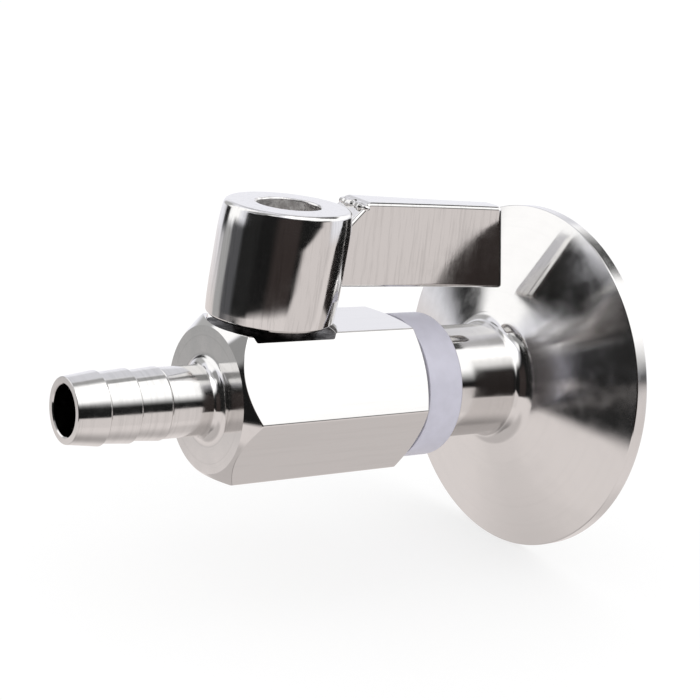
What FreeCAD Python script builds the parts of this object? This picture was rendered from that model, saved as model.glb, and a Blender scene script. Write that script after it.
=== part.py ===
import FreeCAD, Part
import math
import os
import re
import Sketcher
from FreeCAD import Placement, Rotation, Vector

# A stainless hose-barb mini ball valve, screwed into a sanitary clamp ferrule.
# The origin is the centre of the ferrule's sealing face. +X points out of that face,
# the hose barb points to -X, and the stem stands along +Z. All sizes are in millimetres.

SIZES = {
    # Ferrule: a 1.5 inch clamp flange with a threaded socket on a neck
    "flange_radius": 25.25,
    "flange_rim": 2.0,
    "flange_edge_round": 0.2,
    "cone_depth": 5.25,
    "gasket_groove_path": 21.8,
    "gasket_groove_radius": 1.5,
    "ferrule_length": 19.9,
    "ferrule_bore_radius": 4.75,
    "neck_radius": 8.03,
    "neck_blend": 2.6,
    "socket_depth": 10.0,
    # White ring between the ferrule and the hexagon
    "ring_length": 5.8,
    "ring_radius": 10.1,
    "ring_bore_radius": 6.8,
    "ring_edge_round": 0.5,
    # Hexagon body, its bores and the top round the stem
    "across_flats": 20.0,
    "hex_length": 29.15,
    "stem_to_front": 8.93,
    "front_disc_radius": 9.65,
    "front_chamfer_angle": 45.0,
    "rear_disc_radius": 9.48,
    "rear_chamfer_angle": 30.0,
    "flow_radius": 3.25,
    "waterway_radius": 3.6,
    "cavity_radius": 6.25,
    "body_thread_radius": 8.0,
    "body_thread_length": 9.3,
    "spot_face_radius": 8.6,
    "spot_face_depth": 0.8,
    "stem_boss_radius": 5.0,
    # Hose barb
    "barb_length": 19.8,
    "barb_count": 3,
    "barb_pitch": 4.18,
    "barb_tip_radius": 4.19,
    "barb_crest_radius": 4.75,
    "barb_root_radius": 4.4,
    "barb_neck_radius": 4.6,
    "barb_flare": 1.5,
    "barb_bore_chamfer": 0.15,
    # Ball and seats
    "ball_radius": 5.4,
    "slot_width": 2.1,
    "slot_floor": 3.95,
    "seat_face": 3.6,
    "seat_thickness": 2.7,
    "seat_running_gap": 0.05,
    # End insert, its seal and its hexagon key socket
    "insert_thread_radius": 6.58,
    "insert_thread_length": 13.3,
    "insert_key_flats": 8.0,
    "insert_key_depth": 20.0,
    "insert_shoulder_gap": 0.3,
    "insert_lead": 0.5,
    "body_seal_section": 1.2,
    "body_seal_setback": 1.4,
    "body_seal_play": 0.2,
    # Stem, its collar, washer and rings
    "stem_radius": 3.0,
    "stem_collar_radius": 3.6,
    "stem_collar_thickness": 0.9,
    "stem_collar_base": 5.5,
    "collar_clearance": 0.1,
    "tang_tip_gap": 0.1,
    "tang_length": 5.2,
    "thrust_washer_thickness": 0.45,
    "stem_ring_section": 0.9,
    "stem_ring_first": 7.7,
    "stem_ring_pitch": 1.4,
    "stem_flats": 4.2,
    "stem_shoulder": 11.5,
    "stem_top": 16.7,
    # Handle: round hub and bar lever
    "hub_radius": 8.6,
    "hub_base": 11.08,
    "hub_top": 25.85,
    "hub_top_round": 0.75,
    "hub_base_bevel": 0.9,
    "hub_recess_radius": 4.2,
    "hub_recess_floor": 17.0,
    "hub_lead_clearance": 0.2,
    "lever_reach": 37.4,
    "lever_tip_lean": 2.0,
    "lever_thickness": 6.6,
    "lever_tip_thickness": 4.2,
    "lever_base": 15.4,
    "lever_base_drop": 1.3,
    "lever_top": 26.6,
    "lever_top_drop": 0.75,
    "lever_bevel_length": 2.8,
    "lever_bevel_height": 2.4,
    "lever_root": 8.4,
    "lever_inside": 6.0,
    "lever_tip_round": 0.8,
    "lever_edge_round": 0.35,
    # Stop pin and its groove under the hub
    "stop_pin_radius": 1.0,
    "stop_path_radius": 6.2,
    "stop_pin_base": 7.0,
    "stop_pin_top": 12.7,
    "stop_groove_roof": 13.1,
    "stop_clearance": 0.1,
    # Handle screw and washers
    "screw_radius": 1.95,
    "screw_head_radius": 3.5,
    "screw_head_height": 4.0,
    "screw_key_flats": 3.0,
    "screw_key_depth": 2.0,
    "screw_length": 7.2,
    "screw_head_bevel": 0.4,
    "screw_hole_reserve": 0.4,
    "flat_washer_radius": 4.0,
    "flat_washer_thickness": 0.6,
    "lock_washer_radius": 3.6,
    "lock_washer_thickness": 0.9,
    "lock_washer_split": 0.8,
    "washer_bore_radius": 2.15,
    # Turn of the handle at rest from open towards closed, its full turn, the clearances,
    # and how far a cutting outline runs past the face that it leaves by
    "closing_turn": 0.0,
    "quarter_turn": 90.0,
    "fit_gap": 0.05,
    "press_gap": 0.01,
    "overrun": 1.0,
}

# Places and sizes that follow from the driving ones
STEM_X = "-(ferrule_length + ring_length + hex_length - stem_to_front)"
HEX_END_X = "-(ferrule_length + ring_length)"
HEX_TOP = "across_flats / 2"
HEX_REAR = "(hex_length - stem_to_front)"
SEAT_BACK = "(seat_face + seat_thickness)"
STEM_BORE = "(stem_radius + fit_gap)"
COLLAR_TOP = "(stem_collar_base + stem_collar_thickness)"
COLLAR_ROOF = "(stem_collar_base + stem_collar_thickness + thrust_washer_thickness + fit_gap)"
INSERT_REACH = "(hex_length - stem_to_front - seat_face - seat_thickness)"
PILOT_RADIUS = "(cavity_radius - fit_gap)"
WASHER_TOP = "(hub_recess_floor + flat_washer_thickness)"
SCREW_SEAT = "(hub_recess_floor + flat_washer_thickness + lock_washer_thickness)"
HEX_CORNER = "(across_flats / sqrt(3))"

doc = FreeCAD.newDocument("mini_ball_valve")
sheet = doc.addObject("Spreadsheet::Sheet", "Sizes")
for row, (size_name, size_value) in enumerate(SIZES.items(), start=1):
    sheet.set(f"A{row}", size_name.replace("_", " "))
    sheet.set(f"B{row}", str(size_value))
    sheet.setAlias(f"B{row}", size_name)
doc.recompute()

WORD = re.compile(r"[a-z][a-z0-9_]*")
parts = []


def bound(text):
    """The expression with each size's name pointing at its cell."""
    return WORD.sub(lambda word: "Sizes." + word[0] if word[0] in SIZES else word[0], text)


def value(text):
    """What the expression comes to now, as a number."""
    result = sheet.evalExpression(bound(text))
    return float(getattr(result, "Value", result))


def bind(thing, **expressions):
    """Binds properties to expressions; a double underscore stands for a dot."""
    for name, text in expressions.items():
        thing.setExpression(name.replace("__", "."), bound(text))


def keep(thing, label, x="0", y="0", z="0", turn=None):
    """Names a finished piece, puts it in its place and adds it to the list of parts."""
    thing.Label = label
    axis = thing.Placement.Rotation
    thing.Placement = Placement(Vector(value(x), value(y), value(z)), axis)
    bind(thing, Placement__Base__x=x, Placement__Base__y=y, Placement__Base__z=z)
    if turn:
        thing.Placement.Rotation = Rotation(Vector(0, 0, -1), value(turn))
        bind(thing, Placement__Rotation__Angle=turn)
    parts.append(thing)
    return thing


def new_body(name):
    return doc.addObject("PartDesign::Body", name)


def new_sketch(body, name, plane, offset="0"):
    """A sketch on one of the body's own planes, moved along its normal."""
    sketch = body.newObject("Sketcher::SketchObject", name)
    support = next(item for item in body.Origin.OriginFeatures if item.Role == plane)
    sketch.AttachmentSupport = [(support, "")]
    sketch.MapMode = "FlatFace"
    bind(sketch, AttachmentOffset__Base__z=offset)
    return sketch


def hold(sketch, kind, item, point, text):
    """Holds a point's distance from the sketch origin at an expression."""
    index = sketch.addConstraint(Sketcher.Constraint(kind, -1, 1, item, point, value(text)))
    sketch.setExpression(f"Constraints[{index}]", bound(text))


def outline(sketch, points):
    """A closed outline of straight edges, each corner held at two expressions."""
    corners = [Vector(value(x), value(y), 0) for x, y in points]
    first = sketch.GeometryCount
    count = len(corners)
    for index, corner in enumerate(corners):
        sketch.addGeometry(Part.LineSegment(corner, corners[(index + 1) % count]))
    for index in range(count):
        after = first + (index + 1) % count
        sketch.addConstraint(Sketcher.Constraint("Coincident", first + index, 2, after, 1))
    for index, (x, y) in enumerate(points):
        hold(sketch, "DistanceX", first + index, 1, x)
        hold(sketch, "DistanceY", first + index, 1, y)


def circle(sketch, radius, x="0", y="0"):
    centre = Vector(value(x), value(y), 0)
    item = sketch.addGeometry(Part.Circle(centre, Vector(0, 0, 1), value(radius)))
    hold(sketch, "DistanceX", item, 3, x)
    hold(sketch, "DistanceY", item, 3, y)
    index = sketch.addConstraint(Sketcher.Constraint("Radius", item, value(radius)))
    sketch.setExpression(f"Constraints[{index}]", bound(radius))


def rectangle(sketch, x_low, x_high, y_low, y_high):
    outline(sketch, [(x_low, y_low), (x_high, y_low), (x_high, y_high), (x_low, y_high)])


def hexagon(sketch, across_flats):
    """A hexagon with a flat at the top and the bottom."""
    half = f"({across_flats}) / 2"
    corner = f"({across_flats}) / sqrt(3)"
    points = [(corner, "0"), (f"{corner} / 2", half), (f"-{corner} / 2", half)]
    points += [(f"-{corner}", "0"), (f"-{corner} / 2", f"-{half}"), (f"{corner} / 2", f"-{half}")]
    outline(sketch, points)


def feature(body, kind, name, profile, **expressions):
    """A sketch-based feature, and the body's volume before it."""
    before = body.Shape.Volume if body.Tip else 0.0
    item = body.newObject(f"PartDesign::{kind}", name)
    item.Profile = profile
    bind(item, **expressions)
    return item, before


def sound(item):
    """The object, once its shape is known to be there and valid."""
    if item.Shape.isNull() or not item.Shape.isValid():
        raise RuntimeError(f"{item.Label} has no valid shape")
    return item


def settle(item, before, removes):
    """Recomputes, and stops if the feature didn't add or remove material as it should."""
    doc.recompute()
    change = sound(item).Shape.Volume - before
    if (change >= 0) == removes:
        raise RuntimeError(f"{item.Label} changed the volume by {change:.4f}")
    return item


def pad(body, name, profile, length, symmetric=False):
    item, before = feature(body, "Pad", name, profile, Length=length)
    item.Midplane = symmetric
    return settle(item, before, removes=False)


def pocket(body, name, profile, depth, symmetric=False, reverse=False):
    item, before = feature(body, "Pocket", name, profile, Length=depth)
    item.Midplane = symmetric
    item.Reversed = reverse
    return settle(item, before, removes=True)


def revolve(body, name, profile, axis):
    item, before = feature(body, "Revolution", name, profile)
    item.ReferenceAxis = (profile, [axis])
    return settle(item, before, removes=False)


def groove(body, name, profile, axis, turn=None, reverse=False):
    item, before = feature(body, "Groove", name, profile)
    item.ReferenceAxis = (profile, [axis])
    if turn:
        bind(item, Angle=turn)
    item.Reversed = reverse
    return settle(item, before, removes=True)


def edges(item, test):
    """Names of the edges of a feature that pass a test."""
    return [f"Edge{number}" for number, edge in enumerate(item.Shape.Edges, start=1) if test(edge)]


def is_ring(edge, radius, x=None, z=None):
    """True for a circular edge of this radius whose centre lies at x or z."""
    if not isinstance(edge.Curve, Part.Circle) or abs(edge.Curve.Radius - value(radius)) > 1e-4:
        return False
    centre = edge.Curve.Center
    near_x = x is None or abs(centre.x - value(x)) < 1e-4
    near_z = z is None or abs(centre.z - value(z)) < 1e-4
    return near_x and near_z


def dress(body, kind, name, base, names, size_property, size):
    """A fillet or a chamfer on named edges."""
    if not names:
        raise RuntimeError(f"{name} found no edge")
    item = body.newObject(f"PartDesign::{kind}", name)
    item.Base = (base, names)
    bind(item, **{size_property: size})
    doc.recompute()
    return sound(item)


def round_edges(body, name, base, names, radius):
    return dress(body, "Fillet", name, base, names, "Radius", radius)


def bevel_edges(body, name, base, names, size):
    return dress(body, "Chamfer", name, base, names, "Size", size)


def ring_of(name, inner, outer, length):
    """A plain ring along +Z, standing on z = 0."""
    solid = doc.addObject("Part::Cylinder", f"{name}_outside")
    bind(solid, Radius=outer, Height=length)
    hole = doc.addObject("Part::Cylinder", f"{name}_bore")
    bind(hole, Radius=inner, Height=length)
    ring = doc.addObject("Part::Cut", name)
    ring.Base = solid
    ring.Tool = hole
    doc.recompute()
    return ring


def make_ferrule():
    """Clamp flange with its cone, blended into the socket neck, turned in one piece."""
    body = new_body("ferrule")
    neck_end = "-ferrule_length"
    cone_end = "-(flange_rim + cone_depth)"
    profile = new_sketch(body, "ferrule_profile", "XZ_Plane")
    outline(profile, [
        ("0", "ferrule_bore_radius"), ("0", "flange_radius"), ("-flange_rim", "flange_radius"),
        (cone_end, "neck_radius"), (neck_end, "neck_radius"),
        (neck_end, "insert_thread_radius + fit_gap"),
        ("-ferrule_length + socket_depth", "insert_thread_radius + fit_gap"),
        ("-ferrule_length + socket_depth", "ferrule_bore_radius"),
    ])
    turned = revolve(body, "ferrule_turning", profile, "H_Axis")
    blend = edges(turned, lambda edge: is_ring(edge, "neck_radius", x=cone_end))
    turned = round_edges(body, "cone_foot", turned, blend, "neck_blend")
    rim = edges(turned, lambda edge: is_ring(edge, "flange_radius"))
    round_edges(body, "rim_rounds", turned, rim, "flange_edge_round")
    seat = new_sketch(body, "gasket_groove_section", "XZ_Plane")
    circle(seat, "gasket_groove_radius", "0", "gasket_groove_path")
    groove(body, "gasket_groove", seat, "H_Axis")
    return keep(body, "ferrule")


def make_sealing_ring():
    """White plastic ring that fills the gap between the hexagon and the socket."""
    body = new_body("sealing_ring")
    profile = new_sketch(body, "ring_profile", "XZ_Plane")
    rectangle(profile, "0", "ring_length", "ring_bore_radius", "ring_radius")
    turned = revolve(body, "ring_turning", profile, "H_Axis")
    rims = edges(turned, lambda edge: is_ring(edge, "ring_radius", x="ring_length"))
    round_edges(body, "ring_rounds", turned, rims, "ring_edge_round")
    return keep(body, "sealing_ring", x=HEX_END_X)


def barb_outline():
    """Saw-tooth outline of the barb, from its tip to just inside the hexagon."""
    tip = "(-stem_to_front - barb_length)"
    points = [(tip, "flow_radius"), (tip, "barb_tip_radius")]
    count = round(value("barb_count"))
    for number in range(1, count + 1):
        crest = f"{tip} + {number} * barb_pitch"
        after = "barb_neck_radius" if number == count else "barb_root_radius"
        points += [(crest, "barb_crest_radius"), (crest, after)]
    inside = "-stem_to_front + fit_gap"
    return points + [(inside, "barb_neck_radius"), (inside, "flow_radius")]


def chamfer_section(sketch, end, disc_radius, angle, inward):
    """A triangle outside a conical chamfer; inward is the sign of x into the hexagon."""
    outer = f"({HEX_CORNER} + overrun)"
    run = f"{end} {inward} ({outer} - {disc_radius}) * tan({angle})"
    outline(sketch, [(end, disc_radius), (end, outer), (run, outer)])


def cut_hexagon_ends(body):
    front = new_sketch(body, "front_chamfer_section", "XZ_Plane")
    chamfer_section(front, "-stem_to_front", "front_disc_radius", "front_chamfer_angle", "+")
    groove(body, "front_chamfer", front, "H_Axis")
    rear = new_sketch(body, "rear_chamfer_section", "XZ_Plane")
    chamfer_section(rear, HEX_REAR, "rear_disc_radius", "rear_chamfer_angle", "-")
    groove(body, "rear_chamfer", rear, "H_Axis")


def bore_valve_body(body):
    """Stepped bore behind the barb: waterway, ball cavity, thread for the end insert."""
    section = new_sketch(body, "bore_section", "XZ_Plane")
    thread_start = f"{HEX_REAR} - body_thread_length"
    thread_wall = "body_thread_radius + fit_gap"
    outline(section, [
        ("-stem_to_front", "0"), ("-stem_to_front", "waterway_radius"),
        (f"-{SEAT_BACK}", "waterway_radius"), (f"-{SEAT_BACK}", "cavity_radius"),
        (thread_start, "cavity_radius"), (thread_start, thread_wall),
        (HEX_REAR, thread_wall), (HEX_REAR, "0"),
    ])
    groove(body, "stepped_bore", section, "H_Axis")


def cut_stem_seat(body):
    """The milled ring on top, the stem's bore, its inner counterbore and the pin's hole."""
    milled = new_sketch(body, "spot_face_outline", "XY_Plane", HEX_TOP)
    circle(milled, "spot_face_radius")
    circle(milled, "stem_boss_radius")
    pocket(body, "spot_face", milled, "spot_face_depth")
    hole = new_sketch(body, "stem_bore_outline", "XY_Plane", HEX_TOP)
    circle(hole, STEM_BORE)
    pocket(body, "stem_bore", hole, HEX_TOP)
    inner = new_sketch(body, "collar_bore_outline", "XY_Plane", COLLAR_ROOF)
    circle(inner, "stem_collar_radius + collar_clearance")
    pocket(body, "collar_bore", inner, COLLAR_ROOF)
    pin_hole = new_sketch(body, "pin_hole_outline", "XY_Plane", HEX_TOP)
    circle(pin_hole, "stop_pin_radius + press_gap", "stop_path_radius")
    pocket(body, "pin_hole", pin_hole, f"{HEX_TOP} - stop_pin_base")


def make_valve_body():
    """Hexagon bar with chamfered ends, stepped bore, spot face and turned hose barb."""
    body = new_body("valve_body")
    section = new_sketch(body, "hexagon_outline", "YZ_Plane", "-stem_to_front")
    hexagon(section, "across_flats")
    pad(body, "hexagon_bar", section, "hex_length")
    cut_hexagon_ends(body)
    profile = new_sketch(body, "barb_profile", "XZ_Plane")
    outline(profile, barb_outline())
    turned = revolve(body, "barb_turning", profile, "H_Axis")
    foot = edges(turned, lambda edge: is_ring(edge, "barb_neck_radius", x="-stem_to_front"))
    turned = round_edges(body, "barb_foot", turned, foot, "barb_flare")
    mouth_x = "-stem_to_front - barb_length"
    mouth = edges(turned, lambda edge: is_ring(edge, "flow_radius", x=mouth_x))
    bevel_edges(body, "barb_mouth", turned, mouth, "barb_bore_chamfer")
    bore_valve_body(body)
    cut_stem_seat(body)
    return keep(body, "valve_body", x=STEM_X)


def make_ball():
    """Floating ball with its flow bore and the slot that the stem's tang turns."""
    body = new_body("ball")
    globe = body.newObject("PartDesign::AdditiveSphere", "ball_sphere")
    bind(globe, Radius="ball_radius")
    doc.recompute()
    bore = new_sketch(body, "ball_bore_outline", "YZ_Plane")
    circle(bore, "flow_radius")
    pocket(body, "ball_bore", bore, "3 * ball_radius", symmetric=True)
    slot = new_sketch(body, "ball_slot_outline", "XZ_Plane")
    rectangle(slot, "-slot_width / 2", "slot_width / 2", "slot_floor", "ball_radius + overrun")
    pocket(body, "ball_slot", slot, "3 * ball_radius", symmetric=True)
    return keep(body, "ball", x=STEM_X, turn="closing_turn")


def make_seat(name, side):
    """Ring seat with a spherical pocket for the ball; side is the sign of x it lies on."""
    body = new_body(name)
    profile = new_sketch(body, f"{name}_profile", "XZ_Plane")
    rectangle(profile, f"{side} seat_face", f"{side} {SEAT_BACK}", "waterway_radius", PILOT_RADIUS)
    revolve(body, f"{name}_turning", profile, "H_Axis")
    socket = body.newObject("PartDesign::SubtractiveSphere", f"{name}_pocket")
    bind(socket, Radius="ball_radius + seat_running_gap")
    doc.recompute()
    return keep(body, name, x=STEM_X)


def make_end_insert():
    """Screwed-in retainer that clamps the seats, with the pipe thread's plain stub."""
    body = new_body("end_insert")
    shoulder = "insert_shoulder_gap - body_thread_length"
    groove_start = f"-{INSERT_REACH} + body_seal_setback"
    groove_end = f"{groove_start} + body_seal_section + body_seal_play"
    groove_floor = f"{PILOT_RADIUS} - body_seal_section - press_gap"
    profile = new_sketch(body, "insert_profile", "XZ_Plane")
    outline(profile, [
        (f"-{INSERT_REACH}", "flow_radius"), (f"-{INSERT_REACH}", PILOT_RADIUS),
        (groove_start, PILOT_RADIUS), (groove_start, groove_floor),
        (groove_end, groove_floor), (groove_end, PILOT_RADIUS),
        (shoulder, PILOT_RADIUS), (shoulder, "body_thread_radius"),
        ("0", "body_thread_radius"), ("0", "insert_thread_radius"),
        ("insert_thread_length", "insert_thread_radius"), ("insert_thread_length", "flow_radius"),
    ])
    turned = revolve(body, "insert_turning", profile, "H_Axis")
    tip = edges(turned, lambda edge: is_ring(edge, "insert_thread_radius", x="insert_thread_length"))
    bevel_edges(body, "insert_lead", turned, tip, "insert_lead")
    key = new_sketch(body, "insert_key_outline", "YZ_Plane", "insert_thread_length")
    hexagon(key, "insert_key_flats")
    pocket(body, "insert_key", key, "insert_key_depth")
    return keep(body, "end_insert", x=HEX_END_X)


def make_torus(name, path_radius, section):
    torus = doc.addObject("Part::Torus", name)
    bind(torus, Radius1=path_radius, Radius2=f"({section}) / 2")
    return torus


def make_body_seal():
    """O-ring that lies in the end insert's groove."""
    ring = make_torus("body_seal", f"{PILOT_RADIUS} - body_seal_section / 2", "body_seal_section")
    ring.Placement.Rotation = Rotation(Vector(0, 1, 0), 90)
    centre = f"{HEX_END_X} - {INSERT_REACH} + body_seal_setback + body_seal_section / 2 + body_seal_play / 2"
    return keep(ring, "body_seal", x=centre)


def stem_ring_height(number):
    return f"stem_ring_first + {number} * stem_ring_pitch"


def make_stem():
    """Stem with its tang, collar, two ring grooves, double-D top and screw hole."""
    body = new_body("stem")
    tang_base = "slot_floor + tang_tip_gap"
    floor = "stem_radius - stem_ring_section - 2 * press_gap"
    points = [("0", tang_base), ("tang_length / 2", tang_base), ("tang_length / 2", "stem_collar_base")]
    points += [("stem_collar_radius", "stem_collar_base"), ("stem_collar_radius", COLLAR_TOP)]
    points += [("stem_radius", COLLAR_TOP)]
    for number in range(2):
        centre = stem_ring_height(number)
        half = "(stem_ring_section / 2 + fit_gap)"
        points += [("stem_radius", f"{centre} - {half}"), (floor, f"{centre} - {half}")]
        points += [(floor, f"{centre} + {half}"), ("stem_radius", f"{centre} + {half}")]
    points += [("stem_radius", "stem_top"), ("0", "stem_top")]
    profile = new_sketch(body, "stem_profile", "XZ_Plane")
    outline(profile, points)
    revolve(body, "stem_turning", profile, "V_Axis")
    tang = new_sketch(body, "tang_sides", "XY_Plane", "stem_collar_base")
    half_tang = "(slot_width / 2 - fit_gap)"
    for side in ("", "-"):
        inner, outer = f"{side}{half_tang}", f"{side}(stem_collar_radius + overrun)"
        rectangle(tang, inner, outer, "-stem_collar_radius", "stem_collar_radius")
    pocket(body, "tang_flats", tang, "stem_collar_base")
    top = new_sketch(body, "double_d_sides", "XY_Plane", "stem_top")
    for side in ("", "-"):
        inner, outer = f"{side}stem_flats / 2", f"{side}(stem_radius + overrun)"
        rectangle(top, "-stem_radius - overrun", "stem_radius + overrun", inner, outer)
    pocket(body, "double_d", top, "stem_top - stem_shoulder")
    hole = new_sketch(body, "screw_hole_outline", "XY_Plane", "stem_top")
    circle(hole, "screw_radius + fit_gap")
    depth = f"stem_top - {SCREW_SEAT} + screw_length + screw_hole_reserve"
    pocket(body, "screw_hole", hole, depth)
    return keep(body, "stem", x=STEM_X, turn="closing_turn")


def make_thrust_washer():
    """Low-friction washer between the stem's collar and the body."""
    washer = ring_of("stem_thrust_washer", STEM_BORE, "stem_collar_radius", "thrust_washer_thickness")
    return keep(washer, "stem_thrust_washer", x=STEM_X, z=f"{COLLAR_TOP} + fit_gap / 2")


def make_stem_rings():
    for number, label in enumerate(("stem_o_ring_lower", "stem_o_ring_upper")):
        path = "stem_radius - stem_ring_section / 2 - press_gap"
        ring = make_torus(label, path, "stem_ring_section")
        keep(ring, label, x=STEM_X, z=stem_ring_height(number))


def make_stop_pin():
    """Pin pressed into the hexagon; it stops the handle a quarter turn apart."""
    pin = doc.addObject("Part::Cylinder", "stop_pin")
    bind(pin, Radius="stop_pin_radius", Height="stop_pin_top - stop_pin_base")
    return keep(pin, "stop_pin", x=f"{STEM_X} + stop_path_radius", z="stop_pin_base")


def add_lever(body):
    """Bar lever, drawn from the side with its bevelled shoulder by the hub, then tapered in plan."""
    side = new_sketch(body, "lever_side", "XZ_Plane")
    run = "(lever_root + lever_bevel_length - lever_inside)"
    inner_top = f"lever_top - lever_bevel_height * {run} / lever_bevel_length"
    outline(side, [
        ("lever_inside", "lever_base"), ("lever_reach", "lever_base - lever_base_drop"),
        ("lever_reach - lever_tip_lean", "lever_top - lever_top_drop"),
        ("lever_root + lever_bevel_length", "lever_top"), ("lever_inside", inner_top),
    ])
    pad(body, "lever_bar", side, "lever_thickness", symmetric=True)
    flanks = new_sketch(body, "lever_flanks", "XY_Plane", "lever_top + overrun")
    taper = "(lever_thickness - lever_tip_thickness) / 2 / (lever_reach - hub_radius)"
    beyond = "lever_reach + overrun"
    for sign in ("", "-"):
        outline(flanks, [
            ("hub_radius", f"{sign}lever_thickness / 2"),
            (beyond, f"{sign}(lever_tip_thickness / 2 - {taper} * overrun)"),
            (beyond, f"{sign}(lever_thickness / 2 + overrun)"),
            ("hub_radius", f"{sign}(lever_thickness / 2 + overrun)"),
        ])
    return pocket(body, "lever_taper", flanks, "lever_top - lever_base + lever_base_drop + 2 * overrun")


def double_d(sketch, radius, half_flats):
    """A round hole with two flats: two arcs joined by two level chords."""
    reach, flat = value(radius), value(half_flats)
    lean = math.asin(flat / reach)
    whole = Part.Circle(Vector(0, 0, 0), Vector(0, 0, 1), reach)
    edge = math.sqrt(reach ** 2 - flat ** 2)
    right = sketch.addGeometry(Part.ArcOfCircle(whole, -lean, lean))
    upper = sketch.addGeometry(Part.LineSegment(Vector(edge, flat, 0), Vector(-edge, flat, 0)))
    left = sketch.addGeometry(Part.ArcOfCircle(whole, math.pi - lean, math.pi + lean))
    lower = sketch.addGeometry(Part.LineSegment(Vector(-edge, -flat, 0), Vector(edge, -flat, 0)))
    chain = [(right, 2, upper, 1), (upper, 2, left, 1), (left, 2, lower, 1), (lower, 2, right, 1)]
    for item, end, after, begin in chain:
        sketch.addConstraint(Sketcher.Constraint("Coincident", item, end, after, begin))
    for arc in (right, left):
        sketch.addConstraint(Sketcher.Constraint("Coincident", arc, 3, -1, 1))
        index = sketch.addConstraint(Sketcher.Constraint("Radius", arc, reach))
        sketch.setExpression(f"Constraints[{index}]", bound(radius))
    for chord in (upper, lower):
        sketch.addConstraint(Sketcher.Constraint("Horizontal", chord))
    hold(sketch, "DistanceY", upper, 1, half_flats)
    hold(sketch, "DistanceY", lower, 1, f"-({half_flats})")


def cut_stop_groove(body):
    """Quarter-turn groove under the hub that the stop pin runs in."""
    section = new_sketch(body, "stop_groove_section", "XZ_Plane")
    half_width = "(stop_pin_radius + stop_clearance)"
    end_angle = f"asin({half_width} / stop_path_radius)"
    section.AttachmentOffset = Placement(Vector(0, 0, 0), Rotation(Vector(0, -1, 0), value(end_angle)))
    bind(section, AttachmentOffset__Rotation__Angle=end_angle)
    inner, outer = f"stop_path_radius - {half_width}", f"stop_path_radius + {half_width}"
    rectangle(section, inner, outer, "hub_base - overrun", "stop_groove_roof")
    groove(body, "stop_groove", section, "V_Axis", turn=f"quarter_turn * 1 deg + 2 * {end_angle}")


def cut_hub(body):
    """The screw's recess, the double-D hole with its round lead, and the stop groove."""
    recess = new_sketch(body, "recess_outline", "XY_Plane", "hub_top")
    circle(recess, "hub_recess_radius")
    pocket(body, "recess", recess, "hub_top - hub_recess_floor")
    lead = new_sketch(body, "lead_outline", "XY_Plane", "stem_shoulder")
    circle(lead, "stem_radius + hub_lead_clearance")
    pocket(body, "lead", lead, "stem_shoulder - hub_base")
    key = new_sketch(body, "double_d_outline", "XY_Plane", "hub_recess_floor")
    double_d(key, STEM_BORE, "stem_flats / 2 + fit_gap")
    pocket(body, "double_d_hole", key, "hub_recess_floor - stem_shoulder")
    cut_stop_groove(body)


def make_handle():
    """Cast handle: a round hub with a bar lever."""
    body = new_body("handle")
    disc = new_sketch(body, "hub_outline", "XY_Plane", "hub_base")
    circle(disc, "hub_radius")
    disc.AttachmentOffset.Rotation = Rotation(Vector(0, 0, 1), 180)
    hub = pad(body, "hub", disc, "hub_top - hub_base")
    rim = edges(hub, lambda edge: is_ring(edge, "hub_radius", z="hub_top"))
    hub = round_edges(body, "hub_top_rim", hub, rim, "hub_top_round")
    foot = edges(hub, lambda edge: is_ring(edge, "hub_radius", z="hub_base"))
    bevel_edges(body, "hub_foot", hub, foot, "hub_base_bevel")
    bar = add_lever(body)
    tip = value("lever_reach - lever_tip_lean") - 1e-3
    corners = edges(bar, lambda edge: edge.BoundBox.XMin > tip and edge.BoundBox.ZLength > 1)
    bar = round_edges(body, "lever_tip", bar, corners, "lever_tip_round")
    half_reach = value("lever_reach / 2")
    sides = edges(bar, lambda edge: edge.BoundBox.XLength > half_reach)
    round_edges(body, "lever_edges", bar, sides, "lever_edge_round")
    cut_hub(body)
    return keep(body, "handle", x=STEM_X, turn="closing_turn")


def make_flat_washer():
    washer = ring_of("flat_washer", "washer_bore_radius", "flat_washer_radius", "flat_washer_thickness")
    return keep(washer, "flat_washer", x=STEM_X, z="hub_recess_floor", turn="closing_turn")


def make_lock_washer():
    """Spring washer with a radial split."""
    ring = ring_of("lock_washer_ring", "washer_bore_radius", "lock_washer_radius",
                   "lock_washer_thickness")
    split = doc.addObject("Part::Box", "lock_washer_gap")
    bind(split, Length="2 * lock_washer_radius", Width="lock_washer_split",
         Height="2 * lock_washer_thickness", Placement__Base__y="-lock_washer_split / 2",
         Placement__Base__z="-lock_washer_thickness / 2")
    washer = doc.addObject("Part::Cut", "lock_washer")
    washer.Base = ring
    washer.Tool = split
    doc.recompute()
    return keep(washer, "lock_washer", x=STEM_X, z=WASHER_TOP, turn="closing_turn")


def make_handle_screw():
    """Socket-head screw that holds the handle down on the stem's shoulder."""
    body = new_body("handle_screw")
    profile = new_sketch(body, "screw_profile", "XZ_Plane")
    outline(profile, [
        ("0", "-screw_length"), ("screw_radius", "-screw_length"), ("screw_radius", "0"),
        ("screw_head_radius", "0"), ("screw_head_radius", "screw_head_height"),
        ("0", "screw_head_height"),
    ])
    turned = revolve(body, "screw_turning", profile, "V_Axis")
    rim = edges(turned, lambda edge: is_ring(edge, "screw_head_radius", z="screw_head_height"))
    bevel_edges(body, "screw_head_bevel", turned, rim, "screw_head_bevel")
    key = new_sketch(body, "screw_key_outline", "XY_Plane", "screw_head_height")
    hexagon(key, "screw_key_flats")
    pocket(body, "screw_key", key, "screw_key_depth")
    return keep(body, "handle_screw", x=STEM_X, z=SCREW_SEAT, turn="closing_turn")


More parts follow.
